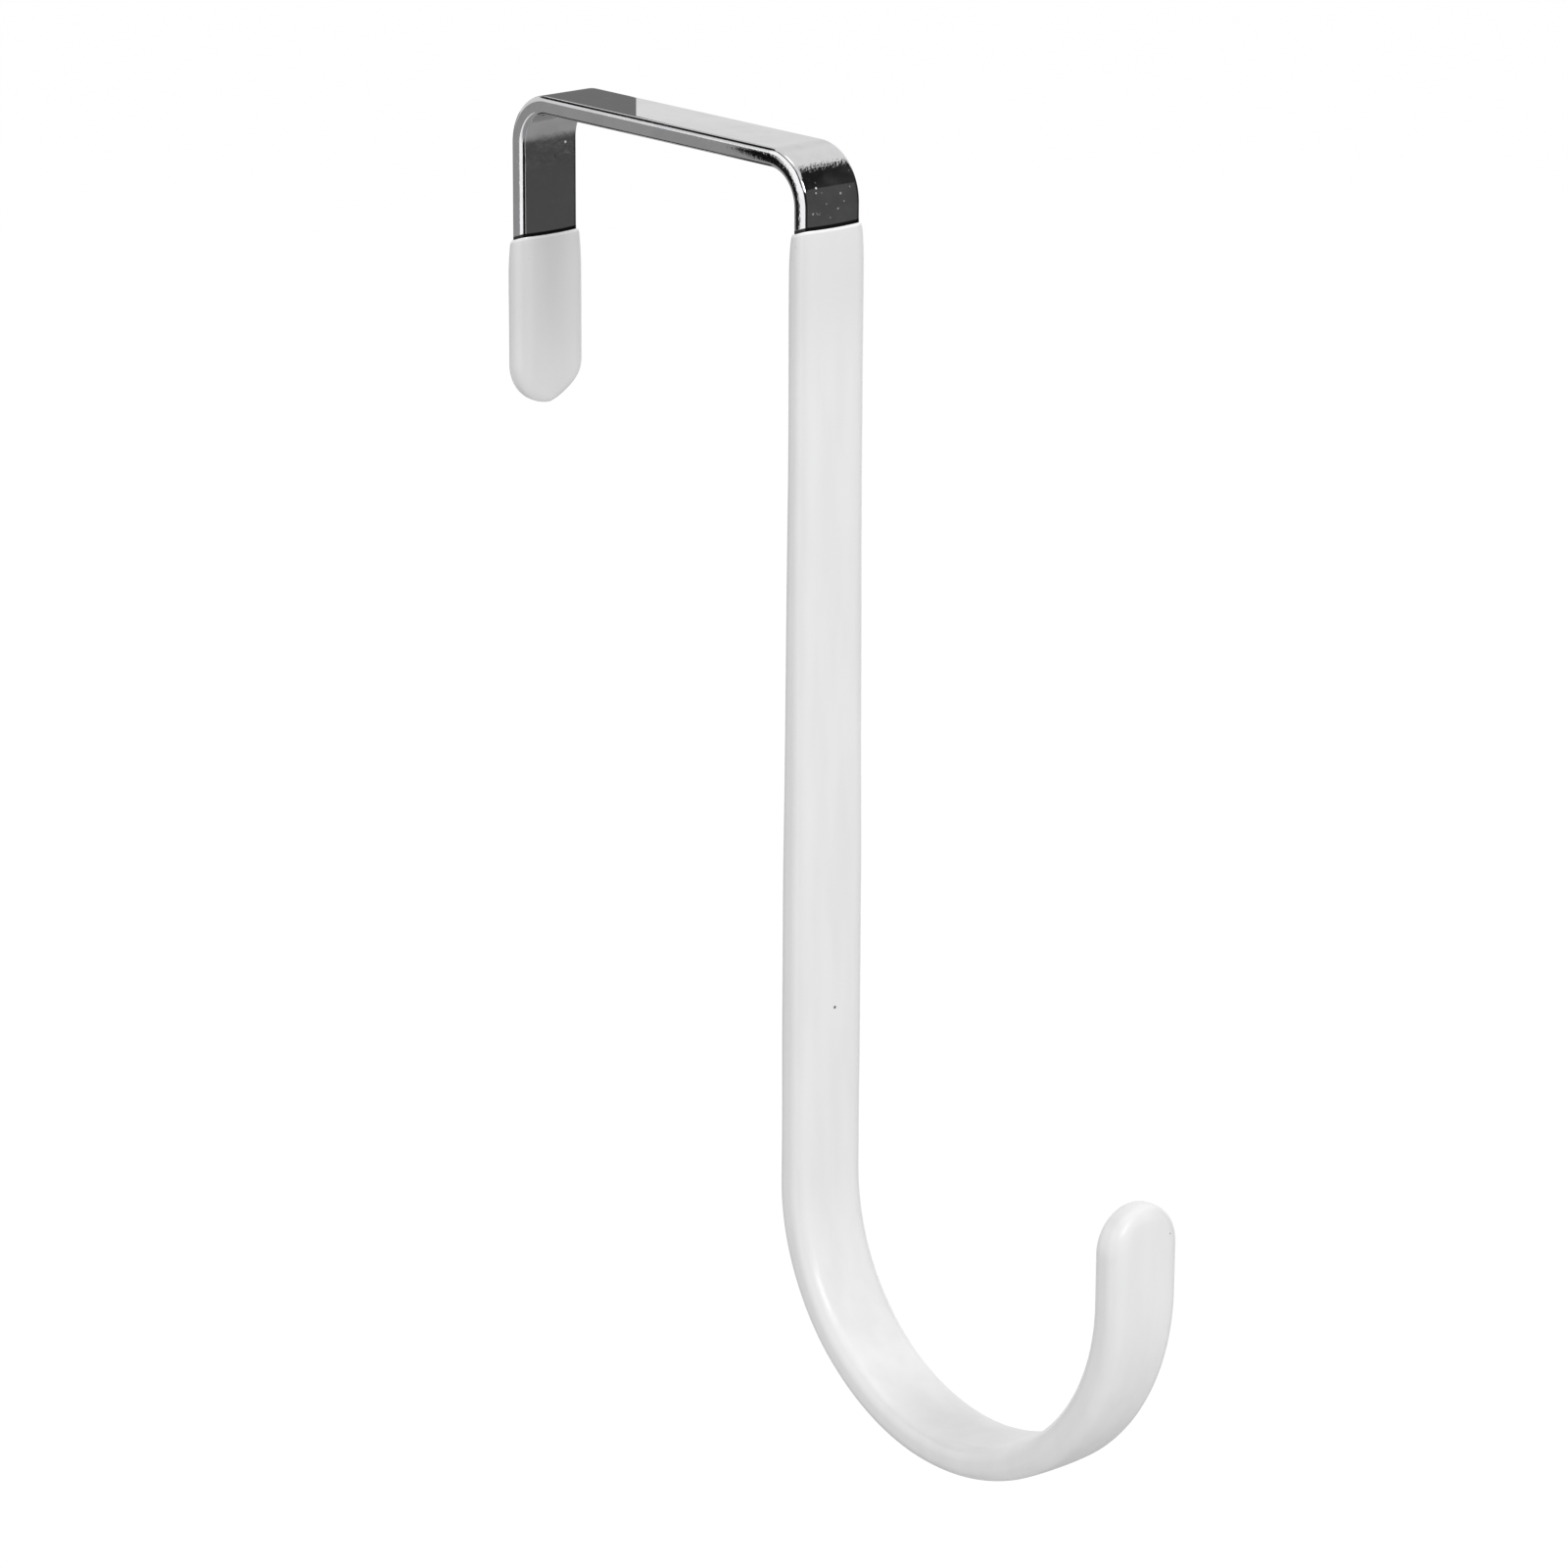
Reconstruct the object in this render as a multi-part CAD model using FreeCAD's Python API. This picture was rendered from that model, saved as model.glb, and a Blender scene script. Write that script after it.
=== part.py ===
"""Over-door hook: one bent steel strip, dip coated in soft white vinyl on both of its hanging ends.

The strip runs up the back of the door, over its top edge, down the front and round a half-circle hook
whose tip stands straight up. The bridge and the bends beside it stay bare. Below the dip line the vinyl
covers everything, so the short back leg and the long shank each wear a sleeve that is closed round the
strip's end and stops at the top in a rounded lip. The strip hung a little out of plumb in the bath,
which is why the front lip lies higher than the back one and both slant the same way.

Frame: the origin is the middle of the bridge's underside, where the hook sits on the door's top edge.
+X points out of the door's front face towards the hook, +Y runs along the strip's width and +Z is up.
"""

import FreeCAD
import Part
import math
import os

# Driving dimensions, in millimetres and degrees
strip_width = 8.2           # flat-rolled steel
strip_thickness = 2.2
strip_edge_radius = 0.55    # the mill leaves the long edges round
door_gap = 45.0             # clear space between the two coated faces, for a 44.5 mm door
bend_radius = 4.0           # inside of the two bare bends
back_leg_length = 34.1      # from the bridge's underside down to the end of the steel
shank_length = 112.5        # straight run between the front bend and the hook
hook_radius = 24.6          # inside of the steel
hook_tip_length = 9.8       # steel that stands straight up past the half circle
back_coat = 0.75            # vinyl on the back leg
shank_coat = 0.75           # vinyl on the upper shank, which bears on the door
hook_coat = 1.0             # vinyl on the lower shank and the hook, where more of it gathered
even_length = 30.0          # upper shank whose vinyl stays thin
thickening_length = 45.0    # run over which it then grows to its full thickness
coat_corner_radius = 1.57   # long outer corners of the vinyl
lip_radius = 0.45           # rounding of the vinyl's rim
dip_line_drop = 10.8        # from the bridge's underside down to the dip line, at the middle of the gap
dip_line_tilt = 10.0        # how far out of plumb the strip hung

# Worked out from the driving dimensions
half_width = strip_width / 2
half_thickness = strip_thickness / 2
back_leg_x = -(door_gap / 2 + back_coat + half_thickness)
shank_x = door_gap / 2 + shank_coat + half_thickness

X = FreeCAD.Vector(1, 0, 0)
Y = FreeCAD.Vector(0, 1, 0)
Z = FreeCAD.Vector(0, 0, 1)

# Points on the strip's middle line, in order from the end behind the door to the hook's tip
back_end = FreeCAD.Vector(back_leg_x, 0, half_width - back_leg_length)
back_top = FreeCAD.Vector(back_leg_x, 0, -bend_radius)
back_pivot = back_top + X * (half_thickness + bend_radius)
bridge_back = back_pivot + Z * (bend_radius + half_thickness)
shank_top = FreeCAD.Vector(shank_x, 0, -bend_radius)
front_pivot = shank_top - X * (half_thickness + bend_radius)
bridge_front = front_pivot + Z * (bend_radius + half_thickness)
shank_foot = shank_top - Z * shank_length
hook_centre = shank_foot + X * (half_thickness + hook_radius)
hook_bottom = hook_centre - Z * (half_thickness + hook_radius)
tip_foot = hook_centre + X * (half_thickness + hook_radius)
tip_end = tip_foot + Z * (hook_tip_length - half_width)


class Section:
    """The strip's cross section, bare or under a coat: a rounded rectangle that is widest along Y."""

    def __init__(self, coat, corner):
        self.half_wide = half_width + coat
        self.half_thick = half_thickness + coat
        self.corner = min(corner, 0.98 * self.half_thick)

    def wire(self, centre, across, splines=False):
        """The outline about a point, with its thin side along the unit vector across.

        Its corners are arcs. Drawn as splines they are the same shape, and a bend made from them needs
        only half as many facets.
        """
        edges = []
        for quarter, (side, end) in enumerate(((1, 1), (-1, 1), (-1, -1), (1, -1))):
            middle = (centre + across * (side * (self.half_thick - self.corner))
                      + Y * (end * (self.half_wide - self.corner)))
            turns = [math.radians(90 * quarter + step) for step in (0, 45, 90)]
            points = [middle + (across * math.cos(turn) + Y * math.sin(turn)) * self.corner for turn in turns]
            if edges:
                edges.append(Part.makeLine(edges[-1].lastVertex().Point, points[0]))
            arc = Part.Arc(*points)
            edges.append(arc.toBSpline().toShape() if splines else arc.toShape())
        edges.append(Part.makeLine(edges[-1].lastVertex().Point, edges[0].firstVertex().Point))
        return Part.Wire(edges)

    def straight(self, start, end):
        """A straight run from one point to another."""
        across = Y.cross(end - start).normalize()
        return Part.Face(self.wire(start, across)).extrude(end - start)

    def bend(self, start, pivot, degrees):
        """A run round a pivot, with the turn counted about +Y."""
        across = (start - pivot).normalize()
        return Part.Face(self.wire(start, across, splines=True)).revolve(pivot, Y, degrees)

    def sheared_end(self, centre, outward):
        """An end that a die cut to a half circle about centre, square through the thickness."""
        across = Y.cross(outward)
        overlong = self.straight(centre, centre + outward * self.half_wide)
        die_foot = centre - across * self.half_thick
        return overlong.common(Part.makeCylinder(self.half_wide, 2 * self.half_thick, die_foot, across))

    def domed_end(self, centre, outward):
        """An end that is a half circle about centre: one half of the section, swung over to the other."""
        across = Y.cross(outward)
        reach = 2 * self.half_wide
        near_half = Part.makeBox(reach, reach, reach, centre - (X + Z) * (reach / 2))
        half_section = Part.Face(self.wire(centre, across, splines=True)).common(near_half).Faces[0]
        return half_section.revolve(centre, across, 180)


def joined(*pieces):
    """One solid from pieces that meet face to face.

    Each seam keeps the edges of the piece that is named first. Bends and ends come before straight runs,
    because their own edges suit them and the plain runs take either kind.
    """
    return pieces[0].multiFuse(pieces[1:]).removeSplitter()


def steel_strip():
    """The whole strip, from its bends and its straight runs."""
    bare = Section(0, strip_edge_radius)
    return joined(
        bare.bend(back_top, back_pivot, 90),
        bare.bend(bridge_front, front_pivot, 90),
        bare.bend(shank_foot, hook_centre, -90),
        bare.bend(hook_bottom, hook_centre, -90),
        bare.sheared_end(back_end, -Z),
        bare.straight(back_end, back_top),
        bare.straight(bridge_back, bridge_front),
        bare.straight(shank_top, shank_foot),
        bare.straight(tip_foot, tip_end),
        bare.sheared_end(tip_end, Z),
    )


def dipped(outer, strip, leg_x):
    """The vinyl that outer leaves round the strip below the dip line, with a rounded rim."""
    tilt = math.radians(dip_line_tilt)
    mid_lip = FreeCAD.Vector(leg_x, 0, leg_x * math.tan(tilt) - dip_line_drop)
    kept_dry = Part.makeBox(door_gap, door_gap, door_gap, mid_lip - (X + Y) * (door_gap / 2))
    kept_dry.rotate(mid_lip, Y, -dip_line_tilt)
    body = outer.cut(kept_dry)
    top_face = max(body.Faces, key=lambda face: face.CenterOfMass.z)
    return body.makeFillet(lip_radius, top_face.Edges).cut(strip)


def back_leg_coating(strip):
    """The sleeve on the back leg, of even thickness."""
    even = Section(back_coat, coat_corner_radius)
    outer = joined(
        even.domed_end(back_end, -Z),
        even.straight(back_top, back_end),
    )
    return dipped(outer, strip, back_leg_x)


def hook_coating(strip):
    """The sleeve on the shank and the hook, which thickens part of the way down and then stays even."""
    thin = Section(shank_coat, coat_corner_radius)
    thick = Section(hook_coat, coat_corner_radius)
    thin_end = shank_top - Z * even_length
    thick_start = thin_end - Z * thickening_length
    outer = joined(
        thick.bend(shank_foot, hook_centre, -90),
        thick.bend(hook_bottom, hook_centre, -90),
        thick.domed_end(tip_end, Z),
        thin.straight(shank_top, thin_end),
        Part.makeLoft([thin.wire(thin_end, X), thick.wire(thick_start, X)], True, True),
        thick.straight(thick_start, shank_foot),
        thick.straight(tip_foot, tip_end),
    )
    return dipped(outer, strip, shank_x)


def write(name, shape):
    """Writes one node's STEP file and prints what it holds."""
    solid = shape.Solids[0]
    print(f"{name}: {len(shape.Solids)} solid, valid {solid.isValid()}, {solid.Volume:.1f} mm3")
    solid.exportStep(f"parts/{name}.step")


os.makedirs("parts", exist_ok=True)
steel = steel_strip()
write("steel_strip", steel)
write("back_leg_coating", back_leg_coating(steel))
write("hook_coating", hook_coating(steel))
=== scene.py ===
"""The look of an over-door hook: a bright plated steel strip whose two hanging ends wear white vinyl.

The strip and its two sleeves are built as smooth meshes on the same middle line and sections as the
solids that they stand for, each gets its finish, and a small white studio is set up round them. Sizes
are in millimetres and degrees up to the point where a mesh is made, and in metres from there on.
Azimuths are counted from +X towards +Y. A value whose name ends in rise is the pair of levels between
which something comes in softly.
"""

import logging
import math
from dataclasses import dataclass
from enum import Enum
from functools import cached_property
from typing import ClassVar, Iterable, Iterator, Mapping, Sequence, Union

import bmesh
import bpy
from mathutils import Matrix, Vector, noise


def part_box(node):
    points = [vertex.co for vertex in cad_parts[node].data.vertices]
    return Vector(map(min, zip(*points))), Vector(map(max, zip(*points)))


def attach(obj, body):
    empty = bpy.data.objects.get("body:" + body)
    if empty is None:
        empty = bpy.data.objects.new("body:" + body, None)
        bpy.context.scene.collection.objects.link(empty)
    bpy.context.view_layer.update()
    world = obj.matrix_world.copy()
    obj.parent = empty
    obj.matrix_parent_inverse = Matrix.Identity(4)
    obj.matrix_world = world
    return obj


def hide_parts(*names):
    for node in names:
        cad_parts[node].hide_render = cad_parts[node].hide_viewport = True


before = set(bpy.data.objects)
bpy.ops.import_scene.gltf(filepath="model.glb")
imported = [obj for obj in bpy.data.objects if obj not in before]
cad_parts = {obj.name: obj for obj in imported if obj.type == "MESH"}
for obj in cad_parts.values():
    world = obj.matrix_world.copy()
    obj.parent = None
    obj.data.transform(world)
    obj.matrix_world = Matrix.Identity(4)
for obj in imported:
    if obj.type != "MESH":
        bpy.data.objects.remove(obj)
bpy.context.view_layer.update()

log = logging.getLogger("over_door_hook")

Colour = tuple[float, float, float, float]
Point = tuple[float, float, float]
Rise = tuple[float, float]
Loop = Sequence[tuple[float, float]]

METRES = 0.001
UP = Vector((0.0, 0.0, 1.0))
ALONG_WIDTH = Vector((0.0, 1.0, 0.0))
WHITE: Colour = (1.0, 1.0, 1.0, 1.0)


def towards(azimuth: float, elevation: float = 0.0) -> Vector:
    """The unit vector that points to an azimuth and an elevation."""
    around, above = math.radians(azimuth), math.radians(elevation)
    level = math.cos(above)
    return Vector((math.cos(around) * level, math.sin(around) * level, math.sin(above)))


# Shader graphs

class Carries(Enum):
    """What a socket carries, which decides the nodes that arithmetic on it adds."""

    VALUE = "VALUE"
    VECTOR = "VECTOR"
    COLOUR = "RGBA"


Input = Union["Wire", float, Sequence[float]]


class Wire:
    """An output socket that takes part in Python arithmetic.

    Values add Math nodes, vectors add Vector Math nodes and colours add Mix nodes.
    """

    def __init__(self, graph: "Graph", socket: bpy.types.NodeSocket) -> None:
        """Keeps the socket and the graph that it belongs to."""
        self.graph = graph
        self.socket = socket

    @property
    def carries(self) -> Carries:
        """What this socket carries."""
        return Carries(self.socket.type)

    def __add__(self, other: Input) -> "Wire":
        """Self plus other."""
        return self.graph.arithmetic("ADD", self, other)

    def __radd__(self, other: Input) -> "Wire":
        """Other plus self."""
        return self.graph.arithmetic("ADD", other, self)

    def __sub__(self, other: Input) -> "Wire":
        """Self less other."""
        return self.graph.arithmetic("SUBTRACT", self, other)

    def __rsub__(self, other: Input) -> "Wire":
        """Other less self."""
        return self.graph.arithmetic("SUBTRACT", other, self)

    def __mul__(self, other: Input) -> "Wire":
        """Self times other."""
        return self.graph.arithmetic("MULTIPLY", self, other)

    def __rmul__(self, other: Input) -> "Wire":
        """Other times self."""
        return self.graph.arithmetic("MULTIPLY", other, self)

    def __abs__(self) -> "Wire":
        """The size of a value, without its sign."""
        return self.graph.node("ShaderNodeMath", {"operation": "ABSOLUTE"}, {0: self})

    def part(self, axis: str) -> "Wire":
        """One of the X, Y and Z parts of a vector."""
        return self.graph.node("ShaderNodeSeparateXYZ", {}, {0: self}, axis)

    def distance(self, point: Point) -> "Wire":
        """How far a place is from a point."""
        settings = {"operation": "DISTANCE"}
        return self.graph.node("ShaderNodeVectorMath", settings, {0: self, 1: point}, "Value")

    def eased(self, rise: Rise) -> "Wire":
        """Zero up to the rise's lower level, one from its upper level on, and smooth between them."""
        low, high = rise
        return self.graph.node(
            "ShaderNodeMapRange",
            {"interpolation_type": "SMOOTHSTEP"},
            {"Value": self, "From Min": low, "From Max": high, "To Min": 0.0, "To Max": 1.0},
        )

    def between(self, low: float, high: float, soft: float) -> "Wire":
        """One between two levels and zero outside them, where soft is half the width of either step."""
        return self.eased((low - soft, low + soft)) * (1.0 - self.eased((high - soft, high + soft)))


class Graph:
    """A node tree while it is being filled."""

    # The Mix node's sockets for colours: the share, the first colour, the second and the result
    MIX_SOCKETS: ClassVar[tuple[int, ...]] = (0, 6, 7, 2)

    def __init__(self, owner: Union[bpy.types.Material, bpy.types.World]) -> None:
        """Empties the node tree of a material or world and gives it an output."""
        owner.use_nodes = True
        self.tree = owner.node_tree
        self.tree.nodes.clear()
        kind = "World" if isinstance(owner, bpy.types.World) else "Material"
        self.output = self.tree.nodes.new(f"ShaderNodeOutput{kind}")

    def node(self, kind: str, settings: Mapping[str, object], sockets: Mapping[Union[str, int], Input],
             output: Union[str, int] = 0) -> Wire:
        """Adds one node.

        Args:
            kind: The node's type.
            settings: Its own settings, which are set first.
            sockets: A value or a wire for each input socket, by name or number.
            output: The output socket to hand back.

        Returns:
            That output.
        """
        made = self.tree.nodes.new(kind)
        for name, value in settings.items():
            setattr(made, name, value)
        for name, value in sockets.items():
            if isinstance(value, Wire):
                self.tree.links.new(value.socket, made.inputs[name])
            else:
                made.inputs[name].default_value = value
        return Wire(self, made.outputs[output])

    def arithmetic(self, operation: str, left: Input, right: Input) -> Wire:
        """Adds the node for one sum on values, vectors or colours.

        Args:
            operation: ADD, SUBTRACT or MULTIPLY.
            left: The first term.
            right: The second term.

        Returns:
            The result.
        """
        carried = {term.carries for term in (left, right) if isinstance(term, Wire)}
        if Carries.COLOUR in carried:
            return self.mix(1.0, left, right, operation)
        if Carries.VECTOR in carried:
            terms = [(term,) * 3 if isinstance(term, (int, float)) else term for term in (left, right)]
            return self.node("ShaderNodeVectorMath", {"operation": operation}, dict(enumerate(terms)))
        return self.node("ShaderNodeMath", {"operation": operation}, {0: left, 1: right})

    def mix(self, share: Input, first: Input, second: Input, blend_type: str = "MIX") -> Wire:
        """Adds a Mix node for colours.

        Args:
            share: 0 for the first colour alone, 1 for the full effect of the second.
            first: A colour.
            second: Another colour.
            blend_type: How the second works on the first.

        Returns:
            The mixed colour.
        """
        *inputs, result = self.MIX_SOCKETS
        settings = {"data_type": "RGBA", "blend_type": blend_type}
        return self.node("ShaderNodeMix", settings, dict(zip(inputs, (share, first, second))), result)

    def place(self) -> Wire:
        """The position on the piece, in millimetres."""
        return self.node("ShaderNodeTexCoord", {}, {}, "Object") * (1.0 / METRES)

    def bump(self, height: Wire) -> Wire:
        """A normal for a relief whose height is in millimetres."""
        return self.node("ShaderNodeBump", {}, {"Strength": 1.0, "Distance": METRES, "Height": height})

    def rays(self, *kinds: str) -> Wire:
        """One for rays of these kinds, as the Light Path node names them, and zero for the rest."""
        return sum(self.node("ShaderNodeLightPath", {}, {}, kind) for kind in kinds)

    def glow(self, kind: str, strength: Input) -> Wire:
        """A white emission or background node of that strength."""
        return self.node(kind, {}, {"Color": WHITE, "Strength": strength})

    def finish(self, surface: Wire) -> None:
        """Links the surface to the graph's output."""
        self.tree.links.new(surface.socket, self.output.inputs["Surface"])


# Finishes

# Levels of X between which the part behind the door's middle goes over into the part in front of it
FRONT_RISE: Rise = (-1.0, 1.0)


@dataclass(frozen=True)
class Pattern:
    """Soft random variation over a piece, mostly from 0.3 to 0.7 and 0.5 on average.

    Size is how wide its patches are, detail how many finer layers it has, and stretch how much longer
    the patches are along X, Y and Z.
    """

    size: float
    detail: float = 2.0
    stretch: Point = (1, 1, 1)

    def over(self, place: Wire) -> Wire:
        """The variation as a value."""
        packed = place * tuple(1.0 / (self.size * factor) for factor in self.stretch)
        sockets = {"Vector": packed, "Scale": 1.0, "Detail": self.detail}
        return place.graph.node("ShaderNodeTexNoise", {}, sockets)


@dataclass(frozen=True)
class Stain:
    """A mark that comes in where a pattern is high, up to a strength."""

    pattern: Pattern
    rise: Rise
    strength: float

    def over(self, place: Wire) -> Wire:
        """The stain as a mask."""
        return self.pattern.over(place).eased(self.rise) * self.strength


@dataclass(frozen=True)
class Speck:
    """A pinhole, a dull spot or a bit of dirt, with its place, its radius and how strongly it shows."""

    at: Point
    radius: float
    strength: float

    CORE: ClassVar[float] = 0.4

    def over(self, place: Wire) -> Wire:
        """The speck as a round mask, full in its core and soft from there to its radius."""
        outside = place.distance(self.at).eased((self.radius * self.CORE, self.radius))
        return (1.0 - outside) * self.strength


@dataclass(frozen=True)
class DipLine:
    """The tilted line to which the strip was dipped, by its drop at mid-gap and its tilt.

    It sags a little across the strip's width, and falls a little more steeply through each leg.
    """

    half_width: float
    leg_x: float
    drop: float = 10.9
    tilt: float = 10.0
    sag: float = 0.12
    droop: float = 0.17

    @property
    def slope(self) -> float:
        """How much the line rises for each millimetre along X."""
        return math.tan(math.radians(self.tilt))

    def height(self, point: Vector) -> float:
        """How high the lip stands where a point is."""
        through = point.x - math.copysign(self.leg_x, point.x)
        sagged = self.sag * ((point.y / self.half_width) ** 2 - 0.5)
        return point.x * self.slope - self.drop + sagged + through * self.droop

    def above(self, place: Wire) -> Wire:
        """How far a place on the strip is above the line."""
        along, across = place.part("X"), place.part("Y")
        side = along.eased(FRONT_RISE) * 2.0 - 1.0
        through = along - side * self.leg_x
        sagged = across * across * (self.sag / self.half_width ** 2) - self.sag * 0.5
        return place.part("Z") - along * self.slope + self.drop - sagged - through * self.droop


@dataclass(frozen=True)
class BrightPlating:
    """Bright plating over rolled steel: mirror like on the flats, grainy on the edges and the bends.

    The edges are the rounded corners with the thin sides between them, and the flanks are the thin sides
    alone. Both bends stretched the plating on their outer face, and the one behind the door squeezed it on
    its inner face. A black band of painted shade lies on the steel just above the dip line.
    """

    dip_line: DipLine
    name: str = "bright_plating"
    colour: Colour = (0.64, 0.64, 0.65, 1.0)
    tarnished: Colour = (0.52, 0.52, 0.53, 1.0)
    # The colour of a band of painted shade on the steel just above the dip line, where the lip meets it
    painted_crease_shade: Colour = (0.03, 0.03, 0.03, 1.0)
    dusty: Colour = (0.68, 0.68, 0.67, 1.0)

    # Levels of the place on the strip, across its width, along X, by height and above the dip line
    edge_rise: Rise = (3.50, 3.95)
    flank_rise: Rise = (4.03, 4.07)
    bend_rise: Rise = (20.5, 21.8)
    stretched_rise: Rise = (-1.2, 0.2)
    squeezed_foot_rise: Rise = (-8.0, -5.5)
    squeezed_top_rise: Rise = (-2.5, -0.5)
    bare_rise: Rise = (0.34, 0.50)

    # Patterns, and the marks on the metal
    clouds: Pattern = Pattern(5.0, 3.0)
    ripple: Pattern = Pattern(1.7, 3.0)
    rolling: Pattern = Pattern(0.5, 2.0, (14, 1, 14))
    grain: Pattern = Pattern(0.16)
    peel: Pattern = Pattern(0.30)
    haze: tuple[Stain, ...] = (Stain(clouds, (0.42, 0.72), 0.025), Stain(ripple, (0.45, 0.70), 0.015))
    tarnish: tuple[Stain, ...] = (Stain(clouds, (0.40, 0.70), 0.4), Stain(ripple, (0.45, 0.65), 0.2))
    edge_tarnish: float = 0.2
    dust: tuple[Union[Stain, Speck], ...] = (
        Stain(Pattern(0.6, 3.0), (0.70, 0.76), 0.3),
        Speck((-23.25, 2.24, -4.40), 0.22, 1.0),
        Speck((25.00, -2.18, -1.67), 0.18, 1.0),
        Speck((25.17, -2.33, -2.17), 0.16, 0.5),
        Speck((25.29, 1.16, -2.61), 0.19, 0.45),
        Speck((25.45, 0.67, -4.21), 0.18, 0.35),
        Speck((25.45, -2.99, -4.37), 0.18, 0.4),
        Speck((25.43, 1.54, -3.51), 0.14, 0.3),
        Speck((25.43, -1.04, -3.49), 0.14, 0.25),
        Speck((25.45, -0.47, -5.09), 0.14, 0.25),
        Speck((25.14, 2.65, -2.07), 0.14, 0.3),
    )

    # The flats' roughness, and what is added to it elsewhere
    roughness: float = 0.025
    edge_roughness: float = 0.010
    stretched_roughness: float = 0.03
    squeezed_roughness: float = 0.06
    crease_shade_roughness: float = 0.3
    dust_roughness: float = 0.4

    # Relief: how many millimetres each pattern goes up for one
    rolling_relief: float = 0.0001
    cloud_relief: float = 0.0006
    edge_grain: float = 0.0050
    flank_grain: float = 0.0014
    flank_peel: float = 0.005
    stretched_peel: float = 0.026
    squeezed_ripple: float = 0.08

    def material(self) -> bpy.types.Material:
        """The finish as a material."""
        made = bpy.data.materials.new(self.name)
        graph = Graph(made)
        place = graph.place()
        edge = abs(place.part("Y")).eased(self.edge_rise)
        stretched, squeezed = self._bends(place, edge)
        # Painted shade: a black band on the steel just above the dip line, standing in for the shade of the
        # crease at the lip
        crease_shaded = 1.0 - self.dip_line.above(place).eased(self.bare_rise)
        dust = sum(mark.over(place) for mark in self.dust)
        haze = sum(stain.over(place) for stain in self.haze)
        tarnish = sum(stain.over(place) for stain in self.tarnish) + edge * self.edge_tarnish
        metal = graph.mix(tarnish, self.colour, self.tarnished)
        roughness = (self.roughness + edge * self.edge_roughness + stretched * self.stretched_roughness
                     + squeezed * self.squeezed_roughness + crease_shaded * self.crease_shade_roughness
                     + dust * self.dust_roughness)
        graph.finish(graph.node("ShaderNodeBsdfPrincipled", {}, {
            "Base Color": graph.mix(dust, graph.mix(crease_shaded, metal, self.painted_crease_shade), self.dusty),
            "Metallic": 1.0 - dust - haze,
            "Roughness": roughness,
            "Normal": graph.bump(self._relief(place, edge, stretched, squeezed)),
        }))
        return made

    def _bends(self, place: Wire, edge: Wire) -> tuple[Wire, Wire]:
        """Where the bends worked the plating.

        Args:
            place: The position, in millimetres.
            edge: The mask of the edges, which they left as they were.

        Returns:
            The masks of the stretched and of the squeezed plating.
        """
        along, height = place.part("X"), place.part("Z")
        bend = abs(along).eased(self.bend_rise) * (1.0 - edge)
        stretched = bend * height.eased(self.stretched_rise)
        inside = height.eased(self.squeezed_foot_rise) * (1.0 - height.eased(self.squeezed_top_rise))
        return stretched, bend * inside * (1.0 - along.eased(FRONT_RISE))

    def _relief(self, place: Wire, edge: Wire, stretched: Wire, squeezed: Wire) -> Wire:
        """The metal's relief.

        Args:
            place: The position, in millimetres.
            edge: The mask of the edges.
            stretched: The mask of the stretched plating.
            squeezed: The mask of the squeezed plating.

        Returns:
            The height, in millimetres.
        """
        flank = abs(place.part("Y")).eased(self.flank_rise)
        grainy = edge * self.edge_grain - flank * (self.edge_grain - self.flank_grain)
        peeled = stretched * self.stretched_peel + flank * self.flank_peel
        return (self.rolling.over(place) * self.rolling_relief + self.clouds.over(place) * self.cloud_relief
                + (self.grain.over(place) - 0.5) * grainy + (self.peel.over(place) - 0.5) * peeled
                + (self.ripple.over(place) - 0.5) * squeezed * self.squeezed_ripple)


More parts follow.
